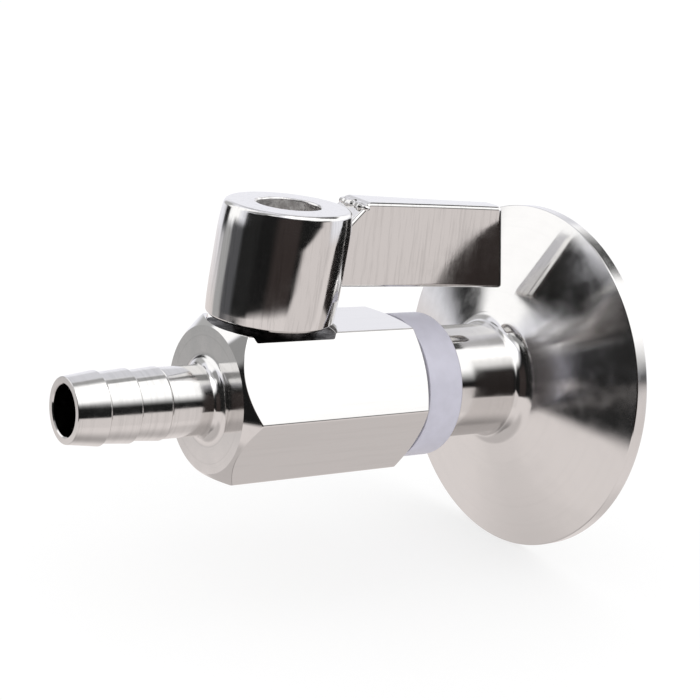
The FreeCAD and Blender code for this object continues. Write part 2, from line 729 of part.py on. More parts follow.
def check_document():
    """Stops before anything is written if an object failed or a part isn't sound."""
    doc.recompute()
    for item in doc.Objects:
        if "Invalid" in item.State or "Error" in item.State:
            raise RuntimeError(f"{item.Label}: {item.State}")
    for part in parts:
        if part.Shape.isNull() or not part.Shape.isValid() or len(part.Shape.Solids) != 1:
            raise RuntimeError(f"{part.Label} is not one sound solid")


def write_parts():
    os.makedirs("parts", exist_ok=True)
    for part in parts:
        part.Shape.exportStep(os.path.join("parts", f"{part.Label}.step"))
        box = part.Shape.BoundBox
        print(f"{part.Label}: volume {part.Shape.Volume:.2f}, x {box.XMin:.2f} to {box.XMax:.2f}")


make_valve_body()
make_end_insert()
make_body_seal()
make_seat("seat_front", "-")
make_seat("seat_rear", "+")
make_ball()
make_stem()
make_thrust_washer()
make_stem_rings()
make_stop_pin()
make_handle()
make_flat_washer()
make_lock_washer()
make_handle_screw()
make_sealing_ring()
make_ferrule()
check_document()
write_parts()
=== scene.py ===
import math
from collections import namedtuple

import bmesh
import bpy
import numpy as np
from mathutils import Matrix, Vector


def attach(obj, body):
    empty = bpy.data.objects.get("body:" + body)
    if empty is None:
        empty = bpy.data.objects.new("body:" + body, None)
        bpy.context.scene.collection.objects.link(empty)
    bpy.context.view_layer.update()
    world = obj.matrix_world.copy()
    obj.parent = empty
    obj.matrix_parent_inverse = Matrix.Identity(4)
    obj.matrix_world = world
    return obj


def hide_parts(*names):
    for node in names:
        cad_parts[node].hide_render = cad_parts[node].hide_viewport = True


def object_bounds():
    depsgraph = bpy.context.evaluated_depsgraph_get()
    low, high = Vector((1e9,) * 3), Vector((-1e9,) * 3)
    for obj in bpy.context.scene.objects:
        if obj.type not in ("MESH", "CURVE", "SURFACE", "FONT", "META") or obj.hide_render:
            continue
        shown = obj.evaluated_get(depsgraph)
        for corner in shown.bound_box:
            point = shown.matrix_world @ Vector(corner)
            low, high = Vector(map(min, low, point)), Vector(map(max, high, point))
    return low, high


# The part's frame in millimetres: the origin is the centre of the ferrule's sealing face, +X points
# out of it, the barb points to -X and the stem stands along +Z. Meshes are made in millimetres
# and scaled to metres at the end. Sizes are the CAD's, apart from the hub's foot, its lean and the
# small forms that are here alone.
MM = 0.001
STEM_X = -45.92
HEX_FRONT, HEX_REAR = -54.85, -25.70
ACROSS_FLATS = 20.0
TURN = 2 * math.pi

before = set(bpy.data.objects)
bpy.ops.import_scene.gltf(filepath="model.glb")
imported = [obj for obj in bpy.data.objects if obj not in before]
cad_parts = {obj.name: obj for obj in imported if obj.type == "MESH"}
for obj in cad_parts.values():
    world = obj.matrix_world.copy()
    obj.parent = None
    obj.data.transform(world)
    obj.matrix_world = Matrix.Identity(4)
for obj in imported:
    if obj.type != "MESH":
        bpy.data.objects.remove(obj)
cad_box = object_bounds()


# Mesh helpers
def rounded(points, radii, step=math.radians(9)):
    """The outline with each corner replaced by a tangent arc of its radius; 0 keeps it sharp."""
    out = []
    count = len(points)
    for i, radius in enumerate(radii):
        here = Vector(points[i])
        before, after = Vector(points[i - 1]), Vector(points[(i + 1) % count])
        a, b = (before - here).normalized(), (after - here).normalized()
        turn = math.pi - math.acos(max(-1, min(1, a.dot(b))))
        if radius == 0 or turn < 1e-3:
            out.append(tuple(here))
            continue
        reach = radius * math.tan(turn / 2)
        centre = here + (a + b).normalized() * (radius / math.cos(turn / 2))
        start, end = here + a * reach, here + b * reach
        steps = max(2, math.ceil(turn / step))
        low = math.atan2(start.y - centre.y, start.x - centre.x)
        sweep = math.atan2(end.y - centre.y, end.x - centre.x) - low
        sweep = (sweep + math.pi) % TURN - math.pi
        for k in range(steps + 1):
            angle = low + sweep * k / steps
            out.append((centre.x + radius * math.cos(angle), centre.y + radius * math.sin(angle)))
    return out


def rounded_rows(rows):
    """The outline of rows of (along, radius, round)."""
    return rounded([row[:2] for row in rows], [row[2] for row in rows])


def mesh_object(name, verts, faces):
    mesh = bpy.data.meshes.new(name)
    mesh.from_pydata([tuple(v) for v in verts], [], faces)
    mesh.validate()
    made = bpy.data.objects.new(name, mesh)
    bpy.context.scene.collection.objects.link(made)
    return made


def turned(name, profile, steps=360, axis="X", centre=(0, 0)):
    """A closed outline of (along, radius) points turned about an axis."""
    angles = np.arange(steps) * TURN / steps
    rings = [ring_points(along, radius, angles, axis, centre) for along, radius in profile]
    return grid(name, rings, closed=True)


def ring_points(along, radius, angles, axis, centre):
    """Points of one ring; along and radius are numbers or one number for each angle."""
    along = np.broadcast_to(along, angles.shape)
    u, v = radius * np.cos(angles), radius * np.sin(angles)
    if axis == "X":
        return np.stack([along, u + centre[0], v + centre[1]], 1)
    return np.stack([u + centre[0], v + centre[1], along], 1)


def grid(name, rings, closed):
    """Quads between one ring of points and the next."""
    count, steps = len(rings), len(rings[0])
    verts = np.concatenate(rings)
    faces = []
    for i in range(count if closed else count - 1):
        j = (i + 1) % count
        for k in range(steps):
            m = (k + 1) % steps
            faces.append((i * steps + k, i * steps + m, j * steps + m, j * steps + k))
    made = mesh_object(name, verts, faces)
    outwards(made)
    return made


def sector(name, rings):
    """A turned skin's part between two angles, with flat ends."""
    count, steps = len(rings), len(rings[0])
    verts = np.concatenate(rings)
    faces = []
    for i in range(count):
        j = (i + 1) % count
        for k in range(steps - 1):
            faces.append((i * steps + k, i * steps + k + 1, j * steps + k + 1, j * steps + k))
    faces += [tuple(i * steps for i in range(count)), tuple(i * steps + steps - 1 for i in range(count))]
    made = mesh_object(name, verts, faces)
    outwards(made)
    return made


def outwards(made):
    """Closes the poles of a turned skin and turns its faces outwards."""
    mesh = bmesh.new()
    mesh.from_mesh(made.data)
    bmesh.ops.remove_doubles(mesh, verts=mesh.verts, dist=1e-5)
    bmesh.ops.recalc_face_normals(mesh, faces=mesh.faces)
    mesh.to_mesh(made.data)
    mesh.free()


def combine(base, tool, operation):
    """An exact boolean, applied; the tool goes away."""
    step = base.modifiers.new(operation, "BOOLEAN")
    step.operation = operation
    step.solver = "EXACT"
    step.object = tool
    apply(base)
    bpy.data.objects.remove(tool)


def apply(made):
    """Replaces the object's mesh by what its modifiers give."""
    bpy.context.view_layer.update()
    shape = made.evaluated_get(bpy.context.evaluated_depsgraph_get())
    mesh = bpy.data.meshes.new_from_object(shape)
    made.modifiers.clear()
    made.data = mesh


def shade(made, crease=30):
    """Smooth shading with sharp creases, and normals that the large faces decide."""
    mesh = made.data
    mesh.shade_smooth()
    mesh.set_sharp_from_angle(angle=math.radians(crease))
    weigh = made.modifiers.new("normals", "WEIGHTED_NORMAL")
    weigh.keep_sharp = True
    weigh.weight = 80
    apply(made)


def place(made, body, material, slot, *nodes):
    """Scales the mesh to metres and makes it a piece of the object."""
    made.data.transform(Matrix.Scale(MM, 4))
    made.data.materials.clear()
    made.data.materials.append(material)
    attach(made, body)
    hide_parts(*nodes)
    return made


def finish_where(made, material, wanted):
    """Gives the faces whose centre, in millimetres, is wanted a finish of their own."""
    made.data.materials.append(material)
    last = len(made.data.materials) - 1
    for face in made.data.polygons:
        if wanted(face.center / MM):
            face.material_index = last


def move_to_stem(made):
    """Moves a mesh made about the Z axis to the stem's axis."""
    made.data.transform(Matrix.Translation((STEM_X, 0, 0)))


# Hexagon and barb
EDGE_ROUND = 0.45                   # of the hexagon's six long edges
EDGE_DEGREES = 1.2                  # the angle each side of an edge that takes in its round
CHAMFER_ROUND = 0.30                # reach of the round between an end's chamfer and the flats
FRONT_DISC, REAR_DISC = 9.65, 9.48  # radii of the flat end faces inside the chamfers
FRONT_SLOPE, REAR_SLOPE = 1.0, math.tan(math.radians(30))
MOUTH, BARB_CREST, BORE_RADIUS = -74.65, 4.75, 3.25
FLAT_TOP = ACROSS_FLATS / 2         # height of the upper flat, which carries the hub
STEM_HOLE, BALL_CHAMBER = 3.05, 3.0


def hexagon_radius(angles):
    """Distance from the axis to the hexagon's skin, its long edges rounded."""
    half = ACROSS_FLATS / 2
    local = (angles - math.pi / 2 + math.pi / 6) % (math.pi / 3) - math.pi / 6
    flat = half / np.cos(local)
    centre = (half - EDGE_ROUND) / math.cos(math.pi / 6)
    away = math.pi / 6 - np.abs(local)
    inside = EDGE_ROUND ** 2 - (centre * np.sin(away)) ** 2
    arc = centre * np.cos(away) + np.sqrt(np.maximum(inside, 0))
    starts = math.atan2(EDGE_ROUND * math.sin(math.pi / 6), centre + EDGE_ROUND * math.cos(math.pi / 6))
    return np.where(away < starts, arc, flat)


def hexagon_angles():
    """Angles round the hexagon, close together at its six long edges."""
    start, end = math.radians(EDGE_DEGREES), math.radians(60 - EDGE_DEGREES)
    around = np.linspace(-1, 1, 15) * start
    between = np.linspace(start, end, 72)[1:-1]
    sixth = np.concatenate([around, between])
    return np.concatenate([sixth + math.radians(60 * k) for k in range(6)])


def chamfer_rings(end, inward, disc_radius, slope, angles):
    """Rings over the conical end chamfer, with a small round where it meets the flats."""
    skin = hexagon_radius(angles)
    along = (skin - disc_radius) * slope
    rise = math.atan(slope)
    # the round stays clear of the chamfer's inner end where the chamfer is narrow, amid the flats
    reach = np.minimum(CHAMFER_ROUND * math.tan((math.pi / 2 - rise) / 2), 0.45 * along / math.sin(rise))
    rings = [(end, disc_radius)]
    for share in np.linspace(0, 1, 6):
        back, ahead = (1 - share) ** 2, share ** 2
        x = along - back * reach * math.sin(rise) + ahead * reach
        r = skin - back * reach * math.cos(rise)
        rings.append((end + inward * x, r))
    return rings


BARB = [
    # (x, radius, round) from the mouth over the three teeth, each with a tool's nick behind it
    (-74.50, BORE_RADIUS, 0), (MOUTH, 3.40, 0.04), (MOUTH, 4.19, 0.08),
    (-70.47, BARB_CREST, 0.06), (-70.47, 4.24, 0.04), (-70.22, 4.43, 0.10),
    (-66.29, BARB_CREST, 0.06), (-66.29, 4.24, 0.04), (-66.04, 4.43, 0.10),
    (-62.11, BARB_CREST, 0.06), (-62.11, 4.38, 0.04), (-61.86, 4.60, 0.10),
    (HEX_FRONT, 4.60, 1.5), (HEX_FRONT, FRONT_DISC, 0),
]
BORE = [
    # (x, radius) from the rear face back through the body
    (HEX_REAR, 8.05), (-35.00, 8.05), (-35.00, 6.25), (-52.22, 6.25), (-52.22, 3.60), (HEX_FRONT, 3.60),
    (HEX_FRONT, BORE_RADIUS),
]
HUB_SEAT = [
    # (z, radius, round) of the turned pocket in the upper flat, under the hub, and its sloped rim
    (FLAT_TOP - 0.8, 5.0, 0), (FLAT_TOP - 0.8, 8.6, 0.15), (FLAT_TOP - 0.14, 8.6, 0.2),
    (FLAT_TOP + 0.3, 9.1, 0), (FLAT_TOP + 0.3, 4.7, 0), (FLAT_TOP - 0.1, 5.0, 0.1),
]


def make_valve_body():
    """Hexagon, chamfers, barb and bore as one skin of rings about the flow axis."""
    angles = hexagon_angles()
    front = chamfer_rings(HEX_FRONT, 1, FRONT_DISC, FRONT_SLOPE, angles)
    rear = chamfer_rings(HEX_REAR, -1, REAR_DISC, REAR_SLOPE, angles)
    rings = rounded_rows(BARB)[:-1] + front + rear[::-1] + BORE
    made = grid("hexagon_body", [ring_points(x, r, angles, "X", (0, 0)) for x, r in rings], closed=True)
    combine(made, turned("seat_cutter", rounded_rows(HUB_SEAT), 288, "Z", (STEM_X, 0)), "DIFFERENCE")
    stem = [(BALL_CHAMBER, 0), (FLAT_TOP + 1, 0), (FLAT_TOP + 1, STEM_HOLE), (BALL_CHAMBER, STEM_HOLE)]
    combine(made, turned("stem_cutter", stem, 96, "Z", (STEM_X, 0)), "DIFFERENCE")
    shade(made)
    return made


# Handle
HUB_BASE, HUB_TOP, HUB_RADIUS = 10.72, 25.85, 8.6
LEVER_REACH, TIP_LEAN, TIP_ROUND, ROOT_ROUND = 37.4, 2.0, 1.1, 0.7
LEVER_HALF, LEVER_LENGTH, TAPER, HOLLOW, DRAFT = 3.24, 28.8, 1.2 / 28.8, 0.8, 0.13
BEVEL_TOP, BEVEL_FACING = Vector((11.2, 0, 26.6)), (-2.4, 0, 2.8)
BASE_START, BASE_LEVEL, BASE_FALL = 6, 15.4, 1.3        # the bar's base sinks by its fall to its tip
TIP_RUN, TOP_FALL = 24.2, 0.75                          # and its top, from the bevel on
LEVER_INSIDE = 4.5                                      # where the bar ends inside the hub
LEVER_EDGE = 0.55                                       # width of the round along its edges


def half_width(x, half):
    """Half the bar's width at x: it narrows to the tip, and polishing has hollowed its sides a little."""
    share = (x - HUB_RADIUS) / LEVER_LENGTH
    return half - TAPER * LEVER_LENGTH * (share + HOLLOW * math.sin(math.pi * share) / math.pi)


def lever_plan(reach, thick):
    """Plan outline of the bar about the stem's axis, with root rounds tangent to the hub.

    thick is half the bar's width where it leaves the hub.
    """
    slope = TAPER * (1 + HOLLOW)
    slant = math.hypot(1, slope)
    # centre of the root round: its own radius off the bar's side and off the hub's wall
    level = thick + slope * HUB_RADIUS + ROOT_ROUND * slant
    away = HUB_RADIUS + ROOT_ROUND
    inside = (level * slope) ** 2 - slant ** 2 * (level ** 2 - away ** 2)
    x = (level * slope + math.sqrt(inside)) / slant ** 2
    y = level - slope * x
    low, high = math.atan2(-y, -x), math.atan2(-1, -slope)
    arc = [(x + ROOT_ROUND * math.cos(low + (high - low) * t / 12),
            y + ROOT_ROUND * math.sin(low + (high - low) * t / 12)) for t in range(13)]
    # inside the hub the bar is narrower, and it comes out just before its first round starts
    half = [(LEVER_INSIDE, thick * 0.6), tuple(Vector(arc[0]) * 0.994)] + arc
    side = [(x, half_width(x, thick)) for x in np.linspace(11, 33, 12)]
    end = half_width(reach, thick)
    half += side + rounded([side[-1], (reach, end), (reach, -end)], [0, TIP_ROUND, 0])[1:-1]
    return half + [(x, -y) for x, y in half[::-1]]


def make_lever():
    """The bar: its plan drawn up between its base and its top, the bevel by the hub sliced off."""
    low = lever_plan(LEVER_REACH, LEVER_HALF + DRAFT)
    high = lever_plan(LEVER_REACH - TIP_LEAN, LEVER_HALF - DRAFT)
    count = len(low)
    base_run = LEVER_REACH - BASE_START
    verts = [(x, y, BASE_LEVEL - BASE_FALL * (x - BASE_START) / base_run) for x, y in low]
    verts += [(x, y, BEVEL_TOP.z - TOP_FALL * (x - BEVEL_TOP.x) / TIP_RUN) for x, y in high]
    faces = [tuple(range(count))[::-1], tuple(range(count, 2 * count))]
    faces += [(k, (k + 1) % count, count + (k + 1) % count, count + k) for k in range(count)]
    made = mesh_object("lever", verts, faces)
    mesh = bmesh.new()
    mesh.from_mesh(made.data)
    cut = bmesh.ops.bisect_plane(mesh, geom=mesh.verts[:] + mesh.edges[:] + mesh.faces[:],
                                 plane_co=BEVEL_TOP, plane_no=BEVEL_FACING, clear_outer=True)
    rim = [item for item in cut["geom_cut"] if isinstance(item, bmesh.types.BMEdge)]
    bmesh.ops.holes_fill(mesh, edges=rim)
    bmesh.ops.recalc_face_normals(mesh, faces=mesh.faces)
    mesh.to_mesh(made.data)
    mesh.free()
    bevel = made.modifiers.new("edges", "BEVEL")
    bevel.width = LEVER_EDGE
    bevel.segments = 8
    bevel.limit_method = "ANGLE"
    bevel.angle_limit = math.radians(25)
    bevel.use_clamp_overlap = False
    apply(made)
    return made


HUB_BEVEL, HUB_TOP_FALL, HUB_FOOT_FALL, RECESS_RADIUS = 0.35, 0.36, 0.20, 4.2
RECESS_FLOOR, TOP_FALL_FROM = 17.0, 4.2                 # the second is a depth under the hub's top
HUB_LEAN, LEAN_TO = math.tan(math.radians(3.4)), (0.803, -0.596)
WALL_FROM, WALL_SOFT = 7.5, 0.3                         # radii: what lies outside them is wall
UPPER_FROM, UPPER_SOFT = 18, 4                          # heights: what lies above them is top
LEAN_KEEPS, LEAN_FADES = 0.2, 3                         # how far off the wall the lean dies out
HUB_MIDDLE, HUB_HALF = (HUB_BASE + HUB_TOP) / 2, (HUB_TOP - HUB_BASE) / 2
HUB_WALL = np.linspace(HUB_BASE + 1.2, HUB_TOP - 1.2, 40)
HUB = [
    # (z, radius, round) up the outside, down the recess and back along the underside
    (HUB_BASE, HUB_RADIUS - HUB_BEVEL, 0.15), (HUB_BASE + HUB_BEVEL, HUB_RADIUS, 0.25),
    *[(z, HUB_RADIUS, 0) for z in HUB_WALL],
    (HUB_TOP, HUB_RADIUS, 0.6), (HUB_TOP, RECESS_RADIUS, 0.3), (RECESS_FLOOR, RECESS_RADIUS, 0),
    (RECESS_FLOOR, STEM_HOLE, 0), (HUB_BASE, STEM_HOLE, 0),
]
STOP_GROOVE = [
    # (z, radius) of the groove under the hub that the stop pin runs in
    (HUB_BASE - 1, 5.1), (HUB_BASE - 1, 7.3), (13.1, 7.3), (13.1, 5.1),
]
STOP_ANGLES = np.radians(np.linspace(-10.3, 100.3, 120))


def share_of(value):
    """The value, held between 0 and 1."""
    return min(1, max(0, value))


def roll_off(made):
    """Lets the hub's wall fall away a little towards its ends, as hand polishing leaves it."""
    outside = (HUB_RADIUS + RECESS_RADIUS) / 2
    for vertex in made.data.vertices:
        radius = math.hypot(vertex.co.x, vertex.co.y)
        if radius > outside:
            above = max(0, 1 - (HUB_TOP - vertex.co.z) / TOP_FALL_FROM)
            below = min(1, max(0, HUB_MIDDLE - vertex.co.z) / HUB_HALF)
            fall = HUB_TOP_FALL * above ** 2 + HUB_FOOT_FALL * below ** 4
            fade = share_of(1 - (radius - HUB_RADIUS) / ROOT_ROUND)
            keep = 1 - fall * fade / radius
            vertex.co.x *= keep
            vertex.co.y *= keep


def lean(made):
    """Leans the hub's wall and top a little to one side, as the casting in the photograph does.

    The hole and the groove under it stay upright, and so does the lever away from the hub.
    """
    for vertex in made.data.vertices:
        radius = math.hypot(vertex.co.x, vertex.co.y)
        outside = share_of((radius - WALL_FROM) / WALL_SOFT)
        upper = share_of((vertex.co.z - UPPER_FROM) / UPPER_SOFT)
        fade = share_of(1 - (radius - HUB_RADIUS - LEAN_KEEPS) / LEAN_FADES)
        shift = HUB_LEAN * (vertex.co.z - HUB_MIDDLE) * max(outside, upper) * fade
        vertex.co.x += LEAN_TO[0] * shift
        vertex.co.y += LEAN_TO[1] * shift


BEAD_HALF, BEAD_WIDE, BEAD_HIGH = 3.25, 0.85, 0.62      # half its length, width and height
BEAD_BACK, BEAD_DOWN = 0.55, 0.80                       # its middle, off the edge of the bevel


def make_bead():
    """The lumpy bead across the bar where its top ends in the bevel."""
    around = np.arange(24) * TURN / 24
    rings = []
    for share in np.linspace(-1, 1, 41):
        # a sausage with round ends that swells and wanders a little along its length
        full = math.sqrt(max(0, 1 - abs(share) ** 5))
        swell = 1 + 0.12 * math.sin(9 * share) + 0.07 * math.sin(21 * share + 1)
        x = BEVEL_TOP.x - BEAD_BACK + 0.12 * math.sin(7 * share + 2)
        z = BEVEL_TOP.z - BEAD_DOWN + 0.05 * math.sin(13 * share)
        wide, high = BEAD_WIDE * full * swell, BEAD_HIGH * full * swell
        y = np.full(around.shape, BEAD_HALF * share)
        rings.append(np.stack([x + wide * np.cos(around), y, z + high * np.sin(around)], 1))
    return grid("bead", rings, closed=False)


def make_handle():
    """Hub, lever and the bead between them in one skin."""
    made = turned("hub_with_lever", rounded_rows(HUB), 480, "Z")
    combine(made, make_lever(), "UNION")
    combine(made, make_bead(), "UNION")
    rings = [ring_points(z, r, STOP_ANGLES, "Z", (0, 0)) for z, r in STOP_GROOVE]
    combine(made, sector("groove_cutter", rings), "DIFFERENCE")
    roll_off(made)
    lean(made)
    move_to_stem(made)
    shade(made)
    return made


# Ferrule and ring
GASKET_PATH, GASKET_GROOVE = 21.8, 1.5      # radii of the gasket's circle and of its groove's section
FLANGE_RADIUS, NECK_RADIUS, PORT_RADIUS, SOCKET_RADIUS = 25.25, 8.03, 4.75, 6.63
NECK_END, CONE_FOOT, CONE_FILLET = -19.9, -7.25, 2.6
FERRULE = [
    # (x, radius, round) from the bore's mouth outwards and back through the socket
    (0, PORT_RADIUS, 0.1), (0, GASKET_PATH - GASKET_GROOVE, 0),
    *[(-GASKET_GROOVE * math.sin(turn), GASKET_PATH - GASKET_GROOVE * math.cos(turn), 0)
      for turn in np.linspace(0, math.pi, 25)[1:-1]],
    (0, GASKET_PATH + GASKET_GROOVE, 0), (0, FLANGE_RADIUS, 0.25), (-2.0, FLANGE_RADIUS, 0.2),
    (CONE_FOOT, NECK_RADIUS, CONE_FILLET), (NECK_END, NECK_RADIUS, 0.12), (NECK_END, SOCKET_RADIUS, 0.2),
    (-9.9, SOCKET_RADIUS, 0), (-9.9, PORT_RADIUS, 0),
]


def make_ferrule():
    """Flange with its gasket groove, cone and neck, turned about the flow axis."""
    made = turned("clamp_ferrule", rounded_rows(FERRULE), 720)
    shade(made)
    return made


RING_HOLE, RING_RADIUS, RING_EDGE = 6.8, 10.1, 0.5
RING = [
    # (x, radius, round) from its hole at the hexagon outwards and back to its hole at the neck's end
    (HEX_REAR, RING_HOLE, 0), (HEX_REAR, RING_RADIUS, 0.12), (NECK_END, RING_RADIUS, RING_EDGE),
    (NECK_END, RING_HOLE, 0),
]


def make_ring():
    """The plastic ring between the hexagon and the ferrule."""
    made = turned("plastic_ring", rounded_rows(RING), 360)
    shade(made)
    return made


# Materials
class Nodes:
    """Short calls for a node tree."""

    def __init__(self, tree):
        self.tree = tree

    def add(self, kind, **settings):
        node = self.tree.nodes.new(kind)
        for name, value in settings.items():
            setattr(node, name, value)
        return node

    def link(self, source, target):
        if isinstance(source, bpy.types.NodeSocket):
            self.tree.links.new(source, target)
        else:
            target.default_value = source

    def math(self, operation, *values):
        return self.result(self.add("ShaderNodeMath", operation=operation), values)

    def vector(self, operation, *values):
        return self.result(self.add("ShaderNodeVectorMath", operation=operation), values)

    def result(self, node, values):
        for value, socket in zip(values, node.inputs):
            self.link(value, socket)
        return node.outputs[0]

    def step(self, value, low, high, bottom=0.0, top=1.0):
        """A smooth step from bottom to top as value goes from low to high."""
        node = self.add("ShaderNodeMapRange", interpolation_type="SMOOTHSTEP")
        self.link(value, node.inputs["Value"])
        self.link(low, node.inputs["From Min"])
        self.link(high, node.inputs["From Max"])
        self.link(bottom, node.inputs["To Min"])
        self.link(top, node.inputs["To Max"])
        return node.outputs["Result"]

    def mix(self, share, first, second):
        node = self.add("ShaderNodeMix", data_type="RGBA")
        self.link(share, node.inputs["Factor"])
        self.link(first, node.inputs["A"])
        self.link(second, node.inputs["B"])
        return node.outputs["Result"]

    def noise(self, where, scale, detail=3.0, rough=0.5, stretch=(1, 1, 1)):
        """Noise at a place given in millimetres."""
        spread = self.vector("MULTIPLY", where, stretch)
        node = self.add("ShaderNodeTexNoise")
        self.link(spread, node.inputs["Vector"])
        node.inputs["Scale"].default_value = scale
        node.inputs["Detail"].default_value = detail
        node.inputs["Roughness"].default_value = rough
        return node.outputs["Fac"]


def tinted(light, tint):
    """A colour with its alpha: the tint at a brightness."""
    return (*(light * channel for channel in tint), 1)


def new_material(name, colour, metallic, roughness):
    made = bpy.data.materials.new(name)
    made.use_nodes = True
    shader = made.node_tree.nodes["Principled BSDF"]
    shader.inputs["Base Color"].default_value = tinted(1, colour)
    shader.inputs["Metallic"].default_value = metallic
    shader.inputs["Roughness"].default_value = roughness
    return made, shader, Nodes(made.node_tree)


def millimetres(nodes):
    """The spot on the object in millimetres, which goes along when the piece moves."""
    scale = nodes.add("ShaderNodeVectorMath", operation="SCALE")
    nodes.link(nodes.add("ShaderNodeTexCoord").outputs["Object"], scale.inputs[0])
    scale.inputs["Scale"].default_value = 1 / MM
    return scale.outputs[0]


def bump(nodes, height, depth, below=None):
    """A normal for a height from 0 to 1 that stands for depth in millimetres."""
    node = nodes.add("ShaderNodeBump")
    node.inputs["Distance"].default_value = depth * MM
    nodes.link(height, node.inputs["Height"])
    if below is not None:
        nodes.link(below, node.inputs["Normal"])
    return node.outputs[0]


STEEL = (0.765, 0.755, 0.745)
TURNED, LEVEL = "turned", "level"
ALL_WAYS, UPRIGHT, LENGTHWISE = (1, 1, 1), (1, 1, 0.05), (0.05, 1, 1)
# noise features in a millimetre, and the tone's scale as a share of the marks' scale
PATCH_SCALE, WAVE_SCALE, STAIN_SCALE, TONE_TO_MARKS = 0.35, 0.16, 0.9, 0.4
# the weight of +X beside the radius in the tangent of a turned finish
TANGENT_RISE = 1.7


def round_axis(nodes, spot):
    """The spot in the half plane through the flow axis: along it, off it and nothing."""
    split = nodes.add("ShaderNodeSeparateXYZ")
    nodes.link(spot, split.inputs[0])
    x, y, z = split.outputs
    squares = nodes.math("ADD", nodes.math("MULTIPLY", y, y), nodes.math("MULTIPLY", z, z))
    join = nodes.add("ShaderNodeCombineXYZ")
    nodes.link(x, join.inputs[0])
    nodes.link(nodes.math("SQRT", squares), join.inputs[1])
    return join.outputs[0]


def steel_nodes(name, roughness, drift, wave, marks, anisotropy=0.0, along=None, stain=0.96):
    """Steel with uneven roughness, a slight waviness and fine tool or brush marks.

    wave is the waviness in millimetres; marks is (scale, stretch, depth) of the marks. along says
    how the piece was worked: turned about the flow axis, or brushed so that it blurs level. stain
    is how bright the darker marks are.
    """
    made, shader, nodes = new_material(name, STEEL, 1.0, roughness)
    spot = millimetres(nodes)
    patches = nodes.noise(spot, PATCH_SCALE, 4.0, 0.6)
    uneven = nodes.step(patches, 0.3, 0.7, roughness - drift, roughness + drift)
    nodes.link(uneven, shader.inputs["Roughness"])
    waviness = bump(nodes, nodes.noise(spot, WAVE_SCALE, 1.0), wave)
    scale, stretch, depth = marks
    where = round_axis(nodes, spot) if along == TURNED else spot
    scratches = nodes.noise(where, scale, 3.0, 0.6, stretch)
    tone = nodes.step(nodes.noise(where, TONE_TO_MARKS * scale, 4.0, 0.7, stretch), 0.32, 0.52)
    nodes.link(nodes.mix(tone, tinted(stain, STEEL), tinted(1, STEEL)), shader.inputs["Base Color"])
    nodes.link(bump(nodes, scratches, depth, waviness), shader.inputs["Normal"])
    shader.inputs["Anisotropic"].default_value = anisotropy
    if along == TURNED:
        # along the piece's own outline: the radius and +X together, which the skin's plane trims
        radial = nodes.vector("NORMALIZE", nodes.vector("MULTIPLY", spot, (0, 1, 1)))
        nodes.link(nodes.vector("ADD", radial, (TANGENT_RISE, 0, 0)), shader.inputs["Tangent"])
    elif along == LEVEL:
        normal = nodes.add("ShaderNodeNewGeometry").outputs["Normal"]
        across = nodes.vector("CROSS_PRODUCT", normal, (0, 0, 1))
        # the small part along +X gives the level faces, whose cross product is nothing, a tangent too
        nodes.link(nodes.vector("ADD", across, (0.01, 0, 0)), shader.inputs["Tangent"])
    return made, shader, nodes, spot


def steel(*worked, **more):
    """The material that steel_nodes makes, alone."""
    return steel_nodes(*worked, **more)[0]


def cast_steel(name, dark, light):
    """Blasted casting skin with darker stains at random, between a dark and a light colour. The copy in
    the hub's recess is lighter than the steel as painted light, and the copy under the hub is near black
    as painted shade.
    """
    made, shader, nodes, spot = steel_nodes(name, 0.42, 0.1, 0.02, (2.2, ALL_WAYS, 0.05))
    stain = nodes.step(nodes.noise(spot, STAIN_SCALE, 5.0, 0.7), 0.35, 0.62)
    nodes.link(nodes.mix(stain, tinted(1, dark), tinted(1, light)), shader.inputs["Base Color"])
    return made


def plastic(name, colour, roughness, grain):
    """Moulded plastic or rubber: a faint mottle in its colour and a fine skin."""
    made, shader, nodes = new_material(name, colour, 0.0, roughness)
    spot = millimetres(nodes)
    mottle = nodes.step(nodes.noise(spot, 0.5, 4.0), 0.3, 0.7)
    nodes.link(nodes.mix(mottle, tinted(0.93, colour), tinted(1, colour)), shader.inputs["Base Color"])
    nodes.link(nodes.step(mottle, 0, 1, roughness - 0.04, roughness + 0.04), shader.inputs["Roughness"])
    nodes.link(bump(nodes, nodes.noise(spot, 6.0, 2.0), grain), shader.inputs["Normal"])
    return made


hexagon_steel = steel("hexagon_steel", 0.06, 0.02, 0.004, (2.5, LENGTHWISE, 0.0006), stain=0.975)
handle_steel = steel("handle_steel", 0.09, 0.03, 0.010, (4.0, UPRIGHT, 0.0025), 0.6, LEVEL, 0.88)
turned_steel = steel("turned_steel", 0.12, 0.03, 0.004, (3.0, ALL_WAYS, 0.0008), 1.0, TURNED, 0.98)
neck_steel = steel("neck_steel", 0.075, 0.02, 0.004, (3.0, ALL_WAYS, 0.0006), 0.8, TURNED, 0.98)
barb_steel = steel("barb_steel", 0.12, 0.04, 0.004, (4.0, ALL_WAYS, 0.0026), 0.5, TURNED, 0.90)
machined_finish = steel("machined_steel_finish", 0.30, 0.05, 0.004, (5.0, ALL_WAYS, 0.004))
ball_steel = steel("ball_steel", 0.05, 0.02, 0.002, (3.0, ALL_WAYS, 0.0005))
# painted light: the cast skin in the hub's recess is lighter than the steel, standing in for light in the
# recess's shade; its darker stains at random are the skin's own
recess_painted_light_cast = cast_steel("recess_painted_light_cast_steel", (0.62, 0.60, 0.59), (0.97, 0.96, 0.95))
# painted shade: a near-black copy of the cast skin, standing in for the shadow under the hub and in the
# pocket it covers
painted_shade_cast = cast_steel("painted_shade_cast_steel", (0.03, 0.03, 0.03), (0.14, 0.13, 0.13))
ring_finish = plastic("ring_plastic_finish", (0.57, 0.56, 0.645), 0.38, 0.002)
